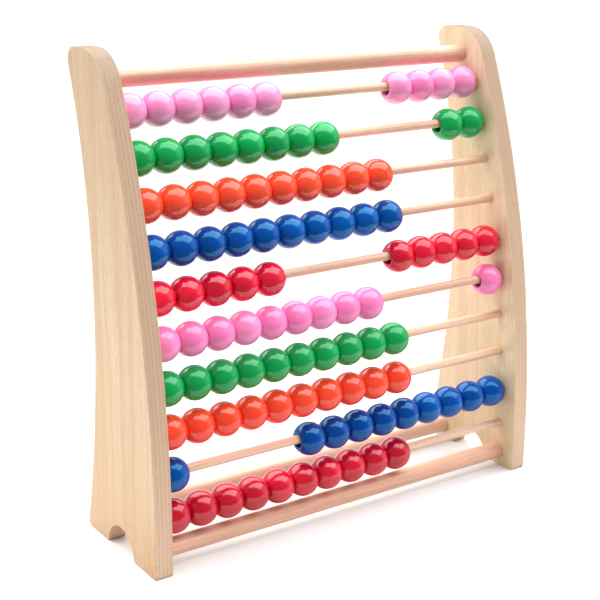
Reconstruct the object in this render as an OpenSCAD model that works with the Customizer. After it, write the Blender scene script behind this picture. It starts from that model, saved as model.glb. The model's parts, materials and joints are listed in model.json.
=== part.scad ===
// Hundred-bead counting frame: two curved plywood sides, three dowels that
// tie them together, ten thin rods and ten painted wooden beads on each rod.
//
// Millimetres. X runs along the rods (to the right), Y runs from the front
// to the back and Z is up. The origin is on the surface that the frame stands
// on, midway between the sides and midway between their front and back.
//
// Rods and rows are numbered 1 to 10 from the top, and the beads of a row are
// numbered 1 to 10 from the left.

/* [Sides] */
// Distance between the inner faces of the two sides
inner_width = 283; // [270:1:330]
// Thickness of each plywood side
side_thickness = 12; // [10:0.5:18]
// Height of each side
side_height = 318; // [314:1:322]
// Depth of each side at its head, front to back
head_depth = 96.5; // [94:0.5:102]
// Depth of each side at its feet, front to back
foot_depth = 95; // [90:0.5:96]
// Depth of each side at its waist, where the hollow back edge is furthest in
waist_depth = 73.7; // [70:0.1:78]
// Height of the waist
waist_z = 166; // [155:1:175]
// Radius of the bulging front edge
front_r = 736; // [700:1:800]
// Height at which the front edge stands furthest forward
front_z = 36; // [30:1:42]
// Radius of the large rounding at the front of the head
head_front_r = 28; // [20:1:32]
// Radius of the small rounding at the back of the head
head_back_r = 8.5; // [4:0.5:10]
// Radius of the corner at the back of the rear foot
foot_back_r = 3.5; // [2:0.5:5]
// Radius of the corner at the front of the front foot
foot_front_r = 1.5; // [1:0.5:3]

/* [Foot arch] */
// Radius of the arch between the two feet
arch_r = 18.2; // [14:0.1:20]
// Distance of the arch's centre from the front of the side
arch_y = 47.5; // [44:0.5:50]
// Height of the arch's centre, a little below the table
arch_z = -1.2; // [-3:0.1:0]
// Radius of the corners where the arch meets the feet
arch_corner_r = 2; // [1:0.5:3]

/* [Rods] */
// Diameter of each bead rod
rod_d = 6; // [4:0.5:6.5]
// Height of the lowest rod
rod_low_z = 33.3; // [32:0.1:36]
// Height from one rod to the next
rod_pitch = 27.6; // [26.5:0.1:27.8]
// Distance of the rods behind the curved front edge
rod_inset = 16.5; // [13:0.5:20]
// Depth of the blind holes in the sides
hole_depth = 8; // [5:0.5:9]
// Glue gap all round a rod or dowel in its hole
glue_gap = 0.05; // [0.02:0.01:0.1]

/* [Dowels] */
// Diameter of the three thick dowels
dowel_d = 12; // [10:0.5:13]
// Depth position of the top dowel
top_dowel_y = 72; // [70:0.5:74]
// Height of the top dowel
top_dowel_z = 299.2; // [298:0.1:301]
// Height of the two bottom dowels
low_dowel_z = 11.5; // [10.5:0.1:12]
// Depth position of the bottom front dowel
front_dowel_y = 16; // [14:0.5:18]
// Depth position of the bottom rear dowel
rear_dowel_y = 78.5; // [77:0.5:80]

/* [Beads] */
// Diameter of each bead
bead_d = 22.6; // [21:0.1:23]
// Length of each bead along its rod, between its flat ends
bead_length = 19.3; // [18:0.1:19.5]
// Diameter of the bore through each bead
bore_d = 9; // [7:0.1:9.4]
// Diameter of the mouth that is countersunk into each end
mouth_d = 9.8; // [9.6:0.1:10]
// Least gap between neighbouring beads, and between a bead and a side
bead_gap = 0.2; // [0.15:0.05:0.3]

/* [Hidden] */
$fn = 96;
ROWS = 10;
BEADS = 10;
// the most beads that one node holds
GROUP = 3;
// a length well past every edge of a side
FAR = 60;
// flat facets round the long radii, so that the drawn curve stays true
LONG_FN = 1440;
// running clearance between the top of a rod and the top of a bead's bore
run_gap = 0.05;

// how many beads of each row stand at the left side and at the right side
left_count = [6, 8, 10, 10, 5, 9, 10, 10, 1, 10];
// how many beads of each row slide as its first bunch, the one on the left
first_count = [for (n = left_count) n == BEADS ? BEADS / 2 : n];
// extra room between neighbouring beads, at the left side and at the right
left_slack = [0, 0, 0, 0.4, 0.5, 0, 0, 0.1, 0, 0];
right_slack = [0, 0, 0, 0, 0, 0, 0, 0, 0.5, 0];

// centres of the rounded corners, as [depth, height] from the front of a side
head_front_c = [
    front_r - sqrt(pow(front_r - head_front_r, 2)
        - pow(side_height - head_front_r - front_z, 2)),
    side_height - head_front_r
];
head_back_c = [head_depth - head_back_r, side_height - head_back_r];
foot_back_c = [foot_depth - foot_back_r, foot_back_r];
foot_front_c = [
    front_r - sqrt(pow(front_r - foot_front_r, 2) - pow(front_z - foot_front_r, 2)),
    foot_front_r
];
arch_corner_dy = sqrt(pow(arch_r + arch_corner_r, 2) - pow(arch_corner_r - arch_z, 2));

// the centre of the front edge's radius
front_c = [front_r, front_z];
// radii of the hollow back edge above and below the waist
upper_back_r = hollow_r(head_back_c, head_back_r);
lower_back_r = hollow_r(foot_back_c, foot_back_r);
upper_back_c = [waist_depth + upper_back_r, waist_z];
lower_back_c = [waist_depth + lower_back_r, waist_z];

ROW_NAMES = [for (row = [1:ROWS]) str("row_", two_digits(row))];
// each group is [row, first bead, last bead], and a bunch's groups are as even
// as they can be
GROUPS = [
    for (row = [1:ROWS])
        for (bunch = [[0, first_count[row - 1]], [first_count[row - 1], BEADS]])
            let (
                count = bunch[1] - bunch[0],
                parts = ceil(count / GROUP)
            )
                for (k = [0:parts - 1])
                    [
                        row,
                        bunch[0] + ceil(k * count / parts) + 1,
                        bunch[0] + ceil((k + 1) * count / parts)
                    ]
];

function two_digits(n) = n < 10 ? str("0", n) : str(n);
function rod_name(row) = str("bead_rod_", two_digits(row));
function group_name(g) = g[1] == g[2]
    ? str(ROW_NAMES[g[0] - 1], "_bead_", two_digits(g[1]))
    : str(ROW_NAMES[g[0] - 1], "_beads_", two_digits(g[1]), "_", two_digits(g[2]));

// the point at a distance and an angle from another
function polar(c, r, angle) = c + r * [cos(angle), sin(angle)];
function angle_to(from, to) = atan2(to[1] - from[1], to[0] - from[0]);
// radius of the arc that is upright at the waist and touches a rounded corner
// from outside: the two centres are as far apart as the two radii together
function hollow_r(corner, r) =
    let (
        back = waist_depth - corner[0],
        up = corner[1] - waist_z
    )
    (up * up + back * back - r * r) / (2 * (r - back));

// depth and height of a rod, measured from the front of a side
function rod_z(row) = rod_low_z + (ROWS - row) * rod_pitch;
function rod_y(row) =
    front_r - sqrt(pow(front_r - rod_inset, 2) - pow(rod_z(row) - front_z, 2));
// a bead hangs with the top of its bore on its rod
bead_sag = (bore_d - rod_d) / 2 - run_gap;

// X of a bead's middle: beads stand in a bunch against the left or right side
function bead_x(row, bead) =
    let (
        at_left = bead <= left_count[row - 1],
        slack = at_left ? left_slack[row - 1] : right_slack[row - 1],
        steps = at_left ? bead - 1 : BEADS - bead,
        reach = bead_gap + bead_length / 2 + steps * (bead_length + bead_gap + slack)
    )
    (at_left ? -1 : 1) * (inner_width / 2 - reach);

// everything in a wedge outside a circle, to cut a rounded corner
module corner_waste(c, r, from, to) {
    difference() {
        polygon([
            c,
            polar(c, FAR, from),
            polar(c, 1.5 * FAR, (from + to) / 2),
            polar(c, FAR, to)
        ]);
        translate(c)
            circle(r = r);
    }
}

// the space behind one arc of the back edge, from the waist to a rounded corner
module back_hollow(c, r, corner) {
    intersection() {
        translate(c)
            circle(r = r, $fn = LONG_FN);
        polygon([
            c,
            polar(c, 1.1 * r, 180),
            polar(c, 1.1 * r, angle_to(c, corner))
        ]);
    }
}

// outline of a side: depth along X and height along Y
module side_outline() {
    arch_c = [arch_y, arch_z];
    front_foot_c = [arch_y - arch_corner_dy, arch_corner_r];
    rear_foot_c = [arch_y + arch_corner_dy, arch_corner_r];
    difference() {
        intersection() {
            square([head_depth, side_height]);
            translate(front_c)
                circle(r = front_r, $fn = LONG_FN);
        }
        back_hollow(upper_back_c, upper_back_r, head_back_c);
        back_hollow(lower_back_c, lower_back_r, foot_back_c);
        translate(arch_c)
            circle(r = arch_r);
        corner_waste(head_front_c, head_front_r, 90, 180 + angle_to(head_front_c, front_c));
        corner_waste(head_back_c, head_back_r, angle_to(head_back_c, upper_back_c), 90);
        corner_waste(foot_back_c, foot_back_r, -90, angle_to(foot_back_c, lower_back_c));
        corner_waste(foot_front_c, foot_front_r, 180 + angle_to(foot_front_c, front_c), 270);
        corner_waste(front_foot_c, arch_corner_r, -90, angle_to(front_foot_c, arch_c));
        corner_waste(rear_foot_c, arch_corner_r, 360 + angle_to(rear_foot_c, arch_c), 270);
    }
}

// stands a drawing of [depth, height] up across X, as thick as length
module across(length) {
    rotate([90, 0, 90])
        linear_extrude(length)
            children();
}

// a blind hole in a left-hand side, open at the side's inner face
module blind_hole(d, y, z) {
    translate([side_thickness - hole_depth, y, z])
        rotate([0, 90, 0])
            cylinder(d = d + 2 * glue_gap, h = hole_depth + 1);
}

// a side with its outer face at X = 0 and its inner face towards +X
module side() {
    difference() {
        across(side_thickness)
            side_outline();
        for (row = [1:ROWS])
            blind_hole(rod_d, rod_y(row), rod_z(row));
        blind_hole(dowel_d, top_dowel_y, top_dowel_z);
        blind_hole(dowel_d, front_dowel_y, low_dowel_z);
        blind_hole(dowel_d, rear_dowel_y, low_dowel_z);
    }
}

module left_side_panel() {
    color("wheat")
        translate([-inner_width / 2 - side_thickness, -head_depth / 2, 0])
            side();
}

module right_side_panel() {
    color("wheat")
        mirror([1, 0, 0])
            translate([-inner_width / 2 - side_thickness, -head_depth / 2, 0])
                side();
}

// a round bar along X, let into both sides
module cross_bar(d, y, z) {
    length = inner_width + 2 * (hole_depth - glue_gap);
    translate([-length / 2, y - head_depth / 2, z])
        rotate([0, 90, 0])
            cylinder(d = d, h = length);
}

module top_dowel() {
    color("burlywood")
        cross_bar(dowel_d, top_dowel_y, top_dowel_z);
}

module bottom_front_dowel() {
    color("burlywood")
        cross_bar(dowel_d, front_dowel_y, low_dowel_z);
}

module bottom_rear_dowel() {
    color("burlywood")
        cross_bar(dowel_d, rear_dowel_y, low_dowel_z);
}

module bead_rod(row) {
    color("tan")
        cross_bar(rod_d, rod_y(row), rod_z(row));
}

// a bead with its bore along X and its middle at the origin
module bead() {
    cone_h = (mouth_d - bore_d) / 2;
    rotate([0, 90, 0])
        difference() {
            intersection() {
                sphere(d = bead_d);
                cylinder(d = bead_d + 2, h = bead_length, center = true);
            }
            cylinder(d = bore_d, h = bead_d, center = true);
            for (turn = [0, 180])
                rotate([turn, 0, 0])
                    translate([0, 0, bead_length / 2 - cone_h])
                        cylinder(d1 = bore_d, d2 = mouth_d + 2 * cone_h, h = 2 * cone_h);
        }
}

// neighbouring beads of one row
module bead_group(group) {
    row = group[0];
    paint = ["hotpink", "forestgreen", "orangered", "mediumblue", "crimson"][(row - 1) % 5];
    color(paint)
        for (bead = [group[1]:group[2]])
            translate([bead_x(row, bead), rod_y(row) - head_depth / 2, rod_z(row) - bead_sag])
                bead();
}

left_side_panel();
right_side_panel();
top_dowel();
bottom_front_dowel();
bottom_rear_dowel();
for (row = [1:ROWS])
    bead_rod(row);
for (group = GROUPS)
    bead_group(group);
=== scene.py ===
import json
import math
import random

import bpy
from mathutils import Matrix, Vector

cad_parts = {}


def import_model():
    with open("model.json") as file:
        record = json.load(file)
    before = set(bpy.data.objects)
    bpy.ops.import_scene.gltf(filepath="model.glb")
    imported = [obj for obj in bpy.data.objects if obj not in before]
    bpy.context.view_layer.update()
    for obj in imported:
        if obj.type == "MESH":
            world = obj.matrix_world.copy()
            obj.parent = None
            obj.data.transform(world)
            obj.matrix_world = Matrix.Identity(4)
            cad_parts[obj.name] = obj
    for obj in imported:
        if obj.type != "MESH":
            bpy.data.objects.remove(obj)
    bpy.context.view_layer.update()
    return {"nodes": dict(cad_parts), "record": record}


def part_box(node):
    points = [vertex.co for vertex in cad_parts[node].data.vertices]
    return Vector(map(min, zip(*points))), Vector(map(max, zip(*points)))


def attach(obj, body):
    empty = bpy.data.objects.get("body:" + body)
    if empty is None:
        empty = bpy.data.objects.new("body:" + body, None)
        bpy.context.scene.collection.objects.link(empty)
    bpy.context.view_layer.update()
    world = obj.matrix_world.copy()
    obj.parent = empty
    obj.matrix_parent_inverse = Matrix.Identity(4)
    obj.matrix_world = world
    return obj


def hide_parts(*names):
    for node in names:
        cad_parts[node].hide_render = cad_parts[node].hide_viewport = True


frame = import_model()
nodes = frame["nodes"]
bodies = frame["record"]["behaviour"]["bodies"]
random.seed(4)

MM = 0.001
SIDES = ("left_side_panel", "right_side_panel")
ROWS = 10

# Sides: how far the edges are rounded over, and the steps of that rounding.
EDGE_ROUND = 1.3 * MM
ROUND_STEPS = 4

# Plywood: the number of plies. How far they wander, how wide half a glue line is and how soft the edge of
# a ply is are given in plies. The grain sways by up to GRAIN_SWAY.
PLIES = 9
PLY_WANDER = 0.12
GLUE_LINE = 0.09
PLY_SOFT = 0.08
GRAIN_SWAY = 22 * MM

# Plywood: what its colour is multiplied by on the inner faces, as painted light that makes them paler, and
# where an edge faces up, where it shows its end grain and also painted shade under the light from above.
INNER_FACE_PAINTED_LIGHT = (1.17, 1.34, 1.42, 1.0)
END_GRAIN_AND_SHADE = (0.45, 0.41, 0.38, 1.0)

# Plywood: the heights below which the dark growth rings are strong and above which they are faint, how high
# the wood is darkened by handling, how high the front feet are rubbed outside, and the distances in front of
# the middle where the rubbing begins and is full.
RINGS_STRONG = 50 * MM
RINGS_FAINT = 260 * MM
DARKER_HEIGHT = 140 * MM
RUB_HEIGHT = 48 * MM
RUB_BEGINS = 22 * MM
RUB_FULL = 48 * MM

# Beads: the bore, its mouth and the mouth's depth are shares of the bead's radius. The flat's share is of
# the bead's end, and the lip's shade is how far the mouth's rounding counts as inside the bore. The rest are
# turns, counts and a share of the bead's size.
BORE = 9 / 22.6
MOUTH = 10.1 / 22.6
MOUTH_DEPTH = 0.08
LIP_SHADE = 0.3
FLAT_SHARE = 0.6
EDGE_TURN = 0.09
EDGE_STEPS = 4
MOUTH_STEPS = 5
BALL_STEPS = 14
BEAD_SIDES = 56
BEAD_TILT = math.radians(0.6)
BEAD_SHRINK = 0.006

# Paint: how much the beads of a row differ in depth of colour, how much painted shade deepens the lower
# five rows, and the weights of that shade and of the film's own uneven depth. Then what the deep colour is
# multiplied by in the bore as painted shade there, and the lacquer's index of refraction.
SHADE_SPREAD = 0.6
LOWER_ROWS_PAINTED_SHADE = 0.6
SHADE_WEIGHT = 0.8
FILM_WEIGHT = 0.4
BORE_PAINTED_SHADE = 0.35
PAINT_IOR = 1.55

# Camera, in the frame of the CAD model.
CAMERA_AT = (-479.6 * MM, -682.95 * MM, 390.3 * MM)
CAMERA_TURN = (math.radians(75.047), 0, math.radians(-33.984))
CAMERA_LENS = 76.93
CAMERA_SENSOR = 36
CAMERA_SHIFT = (0.0097, -0.0586)
CAMERA_FAR = 100

# Light: a soft box overhead, pale walls that are dimmer behind the object and below the horizon, and a
# darker space round the camera. It is all turned about Z, so that its near side is the camera's side.
LIGHT_TURN = math.radians(-34)

# The soft box: how far each edge is from the point overhead and how wide its soft border is, for a ceiling
# at a height of one. A direction is divided by its height, which is taken as HORIZON at least.
BOX_HALF_WIDTH = 1.4
BOX_NEAR = 0.42
BOX_FAR = 1.3
BOX_SOFT = 0.20
HORIZON = 0.01

# The darker space and the walls: how far each reaches on a direction of length one, and how wide its soft
# border is. DARK_SOFT is a share of the square of the darker space's reach.
DARK_HALF_WIDTH = 1.12
DARK_TOP = 0.98
DARK_SOFT = 0.35
DARK_EDGE = 0.25
BACK_REACH = 0.9
BELOW_SOFT = 0.15

# How bright each is. BELOW is the share of a wall's brightness that is left below the horizon.
CEILING = 4.72
WALLS = 1.29
BACK_WALL = 0.70
BELOW = 0.40
DARK = 0.28

# Table: turned like the light. It ends in front of the object, outside the picture, and behind it and to
# its right, where the backdrop is as pale; to the left it runs far. TABLE is how pale it is.
TABLE_FRONT = 260 * MM
TABLE_SIDE = 500 * MM
TABLE_LEFT = 3000 * MM
TABLE = 0.67
TABLE_ROUGHNESS = 0.9


# ---------------------------------------------------------------- node graphs

class Graph:
    """A material's or world's nodes, written as nested calls that return sockets."""

    def __init__(self, tree):
        self.tree = tree
        tree.nodes.clear()

    def add(self, kind, inputs=(), **settings):
        made = self.tree.nodes.new("ShaderNode" + kind)
        for name, value in settings.items():
            setattr(made, name, value)
        for name, value in dict(inputs).items():
            socket = made.inputs[name]
            if isinstance(value, bpy.types.NodeSocket):
                self.tree.links.new(value, socket)
            else:
                socket.default_value = value
        return made

    def place(self, scale):
        """Object coordinates, multiplied by scale, which is per metre."""
        where = self.add("TexCoord").outputs["Object"]
        return self.add("Mapping", {"Vector": where, "Scale": scale}).outputs["Vector"]

    def noise(self, vector, detail=3.0, roughness=0.5):
        return self.add("TexNoise", {
            "Vector": vector,
            "Scale": 1.0,
            "Detail": detail,
            "Roughness": roughness,
        }).outputs["Fac"]

    def remap(self, value, low, high, to_low=0.0, to_high=1.0, smooth=True):
        return self.add("MapRange", {
            "Value": value,
            "From Min": low,
            "From Max": high,
            "To Min": to_low,
            "To Max": to_high,
        }, interpolation_type="SMOOTHSTEP" if smooth else "LINEAR").outputs["Result"]

    def math(self, operation, a, b=0.0, c=0.0):
        return self.add("Math", {0: a, 1: b, 2: c}, operation=operation).outputs[0]

    def mix(self, factor, a, b, blend="MIX"):
        """A colour mix. Its colour sockets share their names with others, so all go by number."""
        inputs = {0: factor, 6: a, 7: b}
        return self.add("Mix", inputs, data_type="RGBA", blend_type=blend).outputs[2]

    def attribute(self, name):
        return self.add("Attribute", attribute_name=name).outputs["Fac"]

    def bump(self, height, strength, distance):
        inputs = {"Height": height, "Strength": strength, "Distance": distance}
        return self.add("Bump", inputs).outputs["Normal"]

    def surface(self, inputs):
        shader = self.add("BsdfPrincipled", inputs)
        self.add("OutputMaterial", {"Surface": shader.outputs[0]})


def material(name):
    made = bpy.data.materials.new(name)
    made.use_nodes = True
    return made, Graph(made.node_tree)


def rgb(red, green, blue):
    """A colour given as sRGB numbers from 0 to 255, as linear RGBA by the sRGB standard's formula."""
    def linear(part):
        part /= 255
        return part / 12.92 if part <= 0.04045 else ((part + 0.055) / 1.055) ** 2.4

    return (linear(red), linear(green), linear(blue), 1.0)


# ------------------------------------------------------------------ materials

BIRCH_PALE = rgb(219, 193, 158)
BIRCH_BAND = rgb(212, 180, 141)
BIRCH_STREAK = rgb(201, 165, 127)
BIRCH_RING = rgb(196, 158, 112)
BIRCH_MOTTLE = rgb(194, 156, 112)
BIRCH_BLOTCH = rgb(216, 185, 158)
BIRCH_FLECK = rgb(174, 134, 96)
BIRCH_FIBRE = rgb(198, 162, 126)
BIRCH_HANDLED = rgb(194, 158, 120)
BIRCH_RUBBED = rgb(186, 132, 92)
PLY_CUT = (rgb(204, 172, 144), rgb(194, 160, 131))
PLY_ALONG = (rgb(211, 181, 153), rgb(200, 168, 139))
GLUE = rgb(166, 130, 102)


def birch_grain(g, at):
    """Patterns in birch whose grain runs upright and sways a little. Their scales are per metre."""
    sway = g.noise(g.place((12, 12, 5)), detail=2.0)
    across = g.math("MULTIPLY_ADD", sway, GRAIN_SWAY, at["Y"])
    swayed = g.add("CombineXYZ", {0: at["X"], 1: across, 2: at["Z"]}).outputs[0]

    def pattern(scale, detail, roughness=0.5):
        stretched = g.add("VectorMath", {0: swayed, 1: scale}, operation="MULTIPLY").outputs[0]
        return g.noise(stretched, detail, roughness)

    return {
        "bands": pattern((60, 130, 4), 3.0, 0.55),
        "streaks": pattern((120, 420, 9), 4.0, 0.6),
        "fibres": pattern((400, 1500, 70), 3.0, 0.6),
        "mottle": pattern((300, 650, 240), 2.0),
        "flecks": g.remap(pattern((500, 1100, 160), 1.0), 0.60, 0.72),
        "rings": g.remap(pattern((40, 230, 3), 1.0), 0.54, 0.60),
        "blotches": g.noise(g.place((14, 14, 9)), detail=2.0),
    }


def birch_face(g, at, grain):
    """The face plies' colour. Their dark growth rings are stronger towards the feet."""
    strength = g.remap(at["Z"], RINGS_STRONG, RINGS_FAINT, 1.0, 0.25)
    rings = g.math("MULTIPLY", grain["rings"], strength)
    face = g.mix(g.remap(grain["bands"], 0.35, 0.65), BIRCH_PALE, BIRCH_BAND)
    face = g.mix(g.remap(grain["streaks"], 0.40, 0.72, 0.0, 0.50), face, BIRCH_STREAK)
    face = g.mix(g.math("MULTIPLY", rings, 0.60), face, BIRCH_RING)
    face = g.mix(g.remap(grain["mottle"], 0.45, 0.72, 0.0, 0.35), face, BIRCH_MOTTLE)
    face = g.mix(g.remap(grain["blotches"], 0.35, 0.70, 0.0, 0.30), face, BIRCH_BLOTCH)
    face = g.mix(g.math("MULTIPLY", grain["flecks"], 0.30), face, BIRCH_FLECK)
    return g.mix(g.remap(grain["fibres"], 0.35, 0.75, 0.0, 0.35), face, BIRCH_FIBRE)


def handled_face(g, at, outward, face):
    """The face, a little darker towards the feet, with the front feet rubbed and speckled on the outside."""
    face = g.mix(g.remap(at["Z"], 0.0, DARKER_HEIGHT, 0.55, 0.0), face, BIRCH_HANDLED)
    rubbed = g.math("MULTIPLY", outward, g.remap(at["Z"], 0.0, RUB_HEIGHT, 1.0, 0.0))
    rubbed = g.math("MULTIPLY", rubbed, g.remap(at["Y"], -RUB_FULL, -RUB_BEGINS, 1.0, 0.0))
    specks = g.remap(g.noise(g.place((750, 750, 600)), detail=2.0), 0.42, 0.60)
    return g.mix(g.math("MULTIPLY", rubbed, specks), face, BIRCH_RUBBED)


def ply_layers(g, through):
    """The layers on the edges, from the depth in plies: every other ply is cut across its fibres, and
    thin glue lines part them. Gives their colour, the two face plies and the glue lines."""
    even = g.math("PINGPONG", through, 1.0)
    first, last = 0.5 - PLY_SOFT, 0.5 + PLY_SOFT
    crossed = g.remap(even, first, last)
    line = g.remap(g.math("ABSOLUTE", g.math("SUBTRACT", even, 0.5)), 0.0, GLUE_LINE, 1.0, 0.0)
    in_front = g.remap(through, first, last, 1.0, 0.0)
    in_back = g.remap(through, PLIES - last, PLIES - first)
    pores = g.noise(g.place((700, 900, 900)), detail=2.0)
    combed = g.noise(g.place((2600, 60, 18)), detail=3.0, roughness=0.6)
    cut = g.mix(g.remap(pores, 0.35, 0.70), *PLY_CUT)
    along = g.mix(g.remap(combed, 0.35, 0.70), *PLY_ALONG)
    glued = g.math("MULTIPLY", line, g.remap(combed, 0.3, 0.7, 0.20, 0.50))
    colour = g.mix(glued, g.mix(crossed, along, cut), GLUE)
    return colour, g.math("MAXIMUM", in_front, in_back), line


def plywood():
    """A solid texture: upright grain in the face plies, and thin straight layers on the edges."""
    made, g = material("plywood_varnished")
    low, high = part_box("right_side_panel")
    inner, outer = low.x, high.x
    at = g.add("SeparateXYZ", {0: g.place((1, 1, 1))}).outputs
    facing = g.add("SeparateXYZ", {0: g.add("NewGeometry").outputs["Normal"]}).outputs
    out = g.math("ABSOLUTE", at["X"])
    grain = birch_grain(g, at)
    face = handled_face(g, at, g.remap(out, inner, outer), birch_face(g, at, grain))

    # Painted light: the inner faces are made a little paler, but not where they turn into the edges.
    flat = g.remap(g.math("ABSOLUTE", facing["X"]), 0.90, 1.0)
    pale = g.math("MULTIPLY", flat, g.remap(out, inner, outer, 1.0, 0.0))
    face = g.mix(pale, face, INNER_FACE_PAINTED_LIGHT, blend="MULTIPLY")

    # The plies, counted outwards from the inner face.
    wander = g.noise(g.place((30, 8, 8)), detail=1.0)
    through = g.remap(out, inner, outer, -PLY_WANDER / 2, PLIES - PLY_WANDER / 2, smooth=False)
    through = g.math("MULTIPLY_ADD", wander, PLY_WANDER, through)
    layers, skin, line = ply_layers(g, through)
    colour = g.mix(skin, layers, face)

    # End grain over the heads is darker; this darkening of the edges that face up is also painted shade.
    ends_and_shade = g.remap(facing["Z"], 0.22, 0.80, smooth=False)
    colour = g.mix(ends_and_shade, colour, END_GRAIN_AND_SHADE, blend="MULTIPLY")

    coarse = g.math("MULTIPLY_ADD", grain["fibres"], 0.4, g.math("MULTIPLY", grain["streaks"], 0.6))
    relief = g.math("MULTIPLY_ADD", grain["fibres"], 0.5, grain["streaks"])
    relief = g.math("SUBTRACT", relief, g.math("MULTIPLY", grain["flecks"], 0.6))
    relief = g.math("SUBTRACT", relief, g.math("MULTIPLY", line, 0.4))
    g.surface({
        "Base Color": colour,
        "Roughness": g.remap(coarse, 0.3, 0.7, 0.42, 0.60),
        "Normal": g.bump(relief, 0.22, 0.14 * MM),
    })
    return made


def turned_wood(name, light, dark, vein, across=900, along=16):
    """Round beech stock: fine fibres along X, with short dark flecks. The scales are per metre."""
    made, g = material(name)
    bands = g.noise(g.place((along * 0.4, across * 0.22, across * 0.22)), detail=2.0)
    fibres = g.noise(g.place((along, across, across)), detail=4.0, roughness=0.6)
    fleck = g.remap(g.noise(g.place((along * 9, across * 1.6, across * 1.6)), detail=1.0), 0.62, 0.74)
    blotches = g.noise(g.place((9, 30, 30)), detail=2.0)
    colour = g.mix(g.remap(bands, 0.35, 0.66), light, dark)
    colour = g.mix(g.remap(fibres, 0.42, 0.75, 0.0, 0.6), colour, vein)
    colour = g.mix(g.remap(blotches, 0.35, 0.7, 0.0, 0.4), colour, dark)
    colour = g.mix(g.math("MULTIPLY", fleck, 0.45), colour, vein)
    rough = g.remap(fibres, 0.3, 0.75, 0.36, 0.56)
    relief = g.math("SUBTRACT", fibres, g.math("MULTIPLY", fleck, 0.5))
    g.surface({
        "Base Color": colour,
        "Roughness": rough,
        "Normal": g.bump(relief, 0.25, 0.1 * MM),
    })
    return made


def paint(name, light, deep, gloss=(1.0, 1.0, 1.0, 1.0)):
    """Gloss lacquer on a turned bead: the wood's grain and a slight orange peel show in the film, which
    is duller where it goes down into the bore, and darker there with painted shade."""
    made, g = material(name)
    lip = g.attribute("lip")
    depth = g.noise(g.place((38, 60, 60)), detail=1.0)
    cloud = g.noise(g.place((150, 220, 220)), detail=3.0, roughness=0.6)
    grain = g.noise(g.place((160, 1300, 1300)), detail=3.0, roughness=0.6)
    peel = g.noise(g.place((520, 520, 520)), detail=2.0)
    nibs = g.remap(g.noise(g.place((1400, 1400, 1400)), detail=0.0), 0.80, 0.90)
    depth = g.remap(depth, 0.3, 0.7, 0.0, FILM_WEIGHT)
    depth = g.math("MULTIPLY_ADD", g.attribute("shade"), SHADE_WEIGHT, depth)
    colour = g.mix(depth, light, deep)
    colour = g.mix(g.remap(cloud, 0.42, 0.75, 0.0, 0.35), colour, deep)
    colour = g.mix(g.remap(grain, 0.55, 0.8, 0.0, 0.16), colour, deep)
    # Painted shade: deeper in the bore the colour is darkened towards a fraction of the deep colour.
    bore_shade = g.math("MULTIPLY", lip, g.remap(cloud, 0.35, 0.65, 0.15, 0.75))
    colour = g.mix(bore_shade, colour, tuple(BORE_PAINTED_SHADE * part for part in deep[:3]) + (1.0,))
    rough = g.remap(cloud, 0.3, 0.7, 0.06, 0.13)
    rough = g.math("MULTIPLY_ADD", lip, 0.30, rough)
    relief = g.math("MULTIPLY_ADD", grain, 0.25, g.math("MULTIPLY_ADD", nibs, 0.5, peel))
    g.surface({
        "Base Color": colour,
        "Roughness": rough,
        "IOR": PAINT_IOR,
        "Specular Tint": gloss,
        "Normal": g.bump(relief, 0.06, 0.10 * MM),
    })
    return made


WOODS = {
    "dowel_wood": turned_wood(
        "dowel_beech", rgb(231, 190, 164), rgb(213, 163, 136), rgb(183, 127, 102)
    ),
    "rod_wood": turned_wood(
        "rod_beech", rgb(240, 204, 180), rgb(224, 178, 150), rgb(190, 136, 110), across=1500, along=24
    ),
}
# Painted light: paler wood for the bottom rear dowel, standing in for light that its shaded place lacks.
PAINTED_LIGHT_DOWEL = turned_wood(
    "painted_light_dowel_beech", rgb(237, 210, 188), rgb(226, 190, 166), rgb(198, 152, 128)
)
PAINTS = {
    "pink_bead_paint": paint("pink_lacquer", rgb(254, 163, 209), rgb(247, 127, 186)),
    "green_bead_paint": paint(
        "green_lacquer", rgb(0, 174, 84), rgb(0, 150, 70), gloss=(0.75, 1.0, 0.95, 1.0)
    ),
    "orange_bead_paint": paint("orange_lacquer", rgb(255, 86, 50), rgb(243, 65, 38)),
    "blue_bead_paint": paint(
        "blue_lacquer", rgb(0, 87, 176), rgb(0, 60, 144), gloss=(0.32, 0.90, 1.0, 1.0)
    ),
    "red_bead_paint": paint("red_lacquer", rgb(250, 24, 60), rgb(184, 3, 36)),
}


# ------------------------------------------------------------------- geometry

def mesh_object(name, verts, faces, finish):
    mesh = bpy.data.meshes.new(name)
    mesh.from_pydata(verts, [], faces)
    mesh.validate()
    mesh.materials.append(finish)
    mesh.polygons.foreach_set("use_smooth", [True] * len(mesh.polygons))
    made = bpy.data.objects.new(name, mesh)
    bpy.context.scene.collection.objects.link(made)
    return made


def finish_with(node, finish):
    """Gives a CAD node a material, on the object and not on its mesh."""
    node.material_slots[0].link = "OBJECT"
    node.material_slots[0].material = finish


ply = plywood()
for name in SIDES:
    finish_with(nodes[name], ply)
    bevel = nodes[name].modifiers.new("edges", "BEVEL")
    bevel.width = EDGE_ROUND
    bevel.segments = ROUND_STEPS
    bevel.limit_method = "ANGLE"
for name, node in nodes.items():
    slot = node.data.materials[0].name
    if slot in WOODS:
        # The bottom rear dowel takes the paler wood, as painted light.
        finish_with(node, PAINTED_LIGHT_DOWEL if name == "bottom_rear_dowel" else WOODS[slot])


# ---------------------------------------------------------------------- beads

def bezier(a, b, c, steps):
    """Points from a to c on the curve that b pulls, without the last one."""
    for step in range(steps):
        t = step / steps
        yield tuple((1 - t) ** 2 * p + 2 * t * (1 - t) * q + t * t * r for p, q, r in zip(a, b, c))


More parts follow.
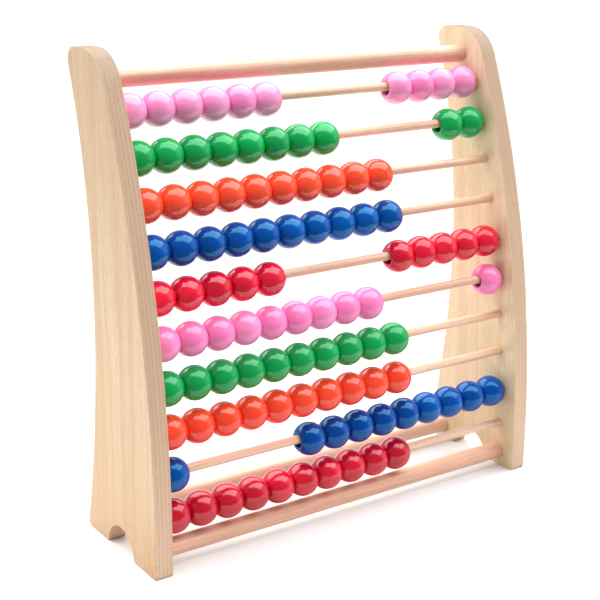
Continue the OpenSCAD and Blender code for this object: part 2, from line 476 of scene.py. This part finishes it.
def bead_profile(radius, length):
    """Half of a bead's closed section, from its widest ring round its end and into the bore, as
    (distance along the bore, distance from its axis, how deep in the bore)."""
    half = length / 2
    turn = math.acos(half / radius)
    edge = radius * math.sin(turn)
    bore = BORE * radius
    inside = half - MOUTH_DEPTH * radius
    flat = edge + (MOUTH * radius - edge) * FLAT_SHARE
    points = []
    for step in range(BALL_STEPS + 1):
        angle = math.pi / 2 + (turn + EDGE_TURN - math.pi / 2) * step / BALL_STEPS
        points.append((radius * math.cos(angle), radius * math.sin(angle), 0.0))
    last = points.pop()
    points += bezier(last, (half, edge, 0.0), (half, flat, 0.0), EDGE_STEPS)
    points += bezier((half, flat, 0.0), (half, bore, LIP_SHADE), (inside, bore, 1.0), MOUTH_STEPS)
    points.append((inside, bore, 1.0))
    points.append((half / 2, bore, 1.0))
    return points


def turn_slightly(point, tilt):
    """A point turned about Y and Z by small angles."""
    return Vector((
        point.x - tilt.z * point.y + tilt.y * point.z,
        point.y + tilt.z * point.x,
        point.z - tilt.y * point.x,
    ))


def faces_round(count):
    """The faces between BEAD_SIDES rings of count points each, which close into a round solid."""
    for side in range(BEAD_SIDES):
        here = side * count
        there = (side + 1) % BEAD_SIDES * count
        for step in range(count):
            after = (step + 1) % count
            yield (here + step, there + step, there + after, here + after)


def make_bead(name, centre, radius, length, body, node):
    """One painted bead, slightly tilted and slightly small, that stands for its share of a CAD node."""
    slot = nodes[node].data.materials[0].name
    half = bead_profile(radius, length)
    ring = half + [(-x, r, lip) for x, r, lip in reversed(half[1:])]
    tilt = Vector((0, random.uniform(-1, 1), random.uniform(-1, 1))) * BEAD_TILT
    scale = 1 - random.uniform(0, BEAD_SHRINK)
    spin = random.uniform(0, 2 * math.pi / BEAD_SIDES)
    verts = []
    for side in range(BEAD_SIDES):
        angle = spin + 2 * math.pi * side / BEAD_SIDES
        for x, r, lip in ring:
            local = Vector((x, r * math.cos(angle), r * math.sin(angle))) * scale
            verts.append(centre + turn_slightly(local, tilt))
    made = mesh_object(name, verts, list(faces_round(len(ring))), PAINTS[slot])

    # What the paint reads: how deep in the bore a point is, and the bead's depth of colour, with painted
    # shade on the lower five rows.
    inside = made.data.attributes.new("lip", "FLOAT", "POINT")
    inside.data.foreach_set("value", [lip for _, _, lip in ring] * BEAD_SIDES)
    # Painted shade: beads of the lower five rows get a deeper colour, for the light that reaches them less.
    painted_row_shade = LOWER_ROWS_PAINTED_SHADE if int(node.split("_")[1]) > ROWS / 2 else 0.0
    shade = made.data.attributes.new("shade", "FLOAT", "POINT")
    shade.data.foreach_set("value", [random.random() * SHADE_SPREAD + painted_row_shade] * len(verts))
    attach(made, body)
    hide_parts(node)


# Every bead is as long as this one, which is a CAD node of its own.
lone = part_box("row_09_bead_01")
bead_length = lone[1].x - lone[0].x
for body, names in bodies.items():
    for node in names:
        if not node.startswith("row_"):
            continue
        # row_03_beads_01_03 holds beads 1 to 3 of row 3, and row_06_bead_10 holds one.
        words = node.split("_")
        row, first, last = words[1], int(words[3]), int(words[-1])
        low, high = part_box(node)
        radius = (high.y - low.y) / 2
        middle = (low + high) / 2
        reach = high.x - low.x - bead_length
        for number in range(first, last + 1):
            share = (number - first) / max(last - first, 1)
            centre = Vector((low.x + bead_length / 2 + reach * share, middle.y, middle.z))
            name = f"row_{row}_painted_bead_{number:02d}"
            make_bead(name, centre, radius, bead_length, body, node)


# -------------------------------------------------------------- studio, camera

def table():
    """A pale table top, flat and plain."""
    made, g = material("pale_table")
    g.surface({"Base Color": (TABLE, TABLE, TABLE, 1.0), "Roughness": TABLE_ROUGHNESS})
    turn = Matrix.Rotation(LIGHT_TURN, 3, "Z")
    corners = (
        (-TABLE_LEFT, -TABLE_FRONT),
        (TABLE_SIDE, -TABLE_FRONT),
        (TABLE_SIDE, TABLE_SIDE),
        (-TABLE_LEFT, TABLE_SIDE),
    )
    verts = [turn @ Vector((x, y, 0)) for x, y in corners]
    mesh_object("table", verts, [(0, 1, 2, 3)], made)


def soft_box(g, side, away, up):
    """Where a direction meets the soft box, which is laid out on a level ceiling."""
    height = g.math("MAXIMUM", up, HORIZON)
    across = g.math("DIVIDE", side, height)
    beyond = g.math("DIVIDE", away, height)
    box = g.remap(across, BOX_HALF_WIDTH, BOX_HALF_WIDTH + BOX_SOFT, 1.0, 0.0)
    box = g.math("MULTIPLY", box, g.remap(beyond, BOX_FAR, BOX_FAR + BOX_SOFT, 1.0, 0.0))
    return g.math("MULTIPLY", box, g.remap(beyond, -BOX_NEAR - BOX_SOFT, -BOX_NEAR))


def room(g, side, away, up):
    """How bright the walls are, with the darker space on the camera's side, which has a rounded top."""
    wide = g.math("DIVIDE", side, DARK_HALF_WIDTH)
    high = g.math("DIVIDE", g.math("MAXIMUM", up, 0.0), DARK_TOP)
    reach = g.math("MULTIPLY_ADD", wide, wide, g.math("MULTIPLY", high, high))
    dark = g.remap(reach, 1.0 - DARK_SOFT, 1.0, 1.0, 0.0)
    dark = g.math("MULTIPLY", dark, g.remap(away, -DARK_EDGE, 0.0, 1.0, 0.0))
    walls = g.remap(away, 0.0, BACK_REACH, WALLS, BACK_WALL)
    walls = g.math("MULTIPLY", walls, g.remap(up, -BELOW_SOFT, 0.0, BELOW, 1.0))
    return g.math("MULTIPLY_ADD", g.math("SUBTRACT", DARK, walls), dark, walls)


def world():
    """A white studio. The camera sees only a plain backdrop, from every side."""
    made = bpy.data.worlds.new("studio")
    made.use_nodes = True
    g = Graph(made.node_tree)
    direction = g.add("TexCoord").outputs["Generated"]
    turned = g.add("VectorRotate", {"Vector": direction, "Angle": -LIGHT_TURN}, rotation_type="Z_AXIS")
    part = g.add("SeparateXYZ", {0: turned.outputs["Vector"]}).outputs
    side = g.math("ABSOLUTE", part["X"])
    walls = room(g, side, part["Y"], part["Z"])
    box = soft_box(g, side, part["Y"], part["Z"])
    light = g.math("MULTIPLY_ADD", g.math("SUBTRACT", CEILING, walls), box, walls)
    seen = g.add("LightPath").outputs["Is Camera Ray"]
    light = g.math("MULTIPLY_ADD", g.math("SUBTRACT", WALLS, light), seen, light)
    back = g.add("Background", {"Color": (1.0, 1.0, 1.0, 1.0), "Strength": light})
    g.add("OutputWorld", {"Surface": back.outputs[0]})
    bpy.context.scene.world = made


def set_camera():
    """Makes the camera that the scene is seen through."""
    camera = bpy.data.cameras.new("camera")
    camera.lens = CAMERA_LENS
    camera.sensor_width = CAMERA_SENSOR
    camera.shift_x, camera.shift_y = CAMERA_SHIFT
    camera.clip_end = CAMERA_FAR
    viewer = bpy.data.objects.new("camera", camera)
    viewer.location = CAMERA_AT
    viewer.rotation_euler = CAMERA_TURN
    bpy.context.scene.collection.objects.link(viewer)
    bpy.context.scene.camera = viewer


table()
world()
set_camera()
bpy.context.scene.view_settings.view_transform = "Standard"
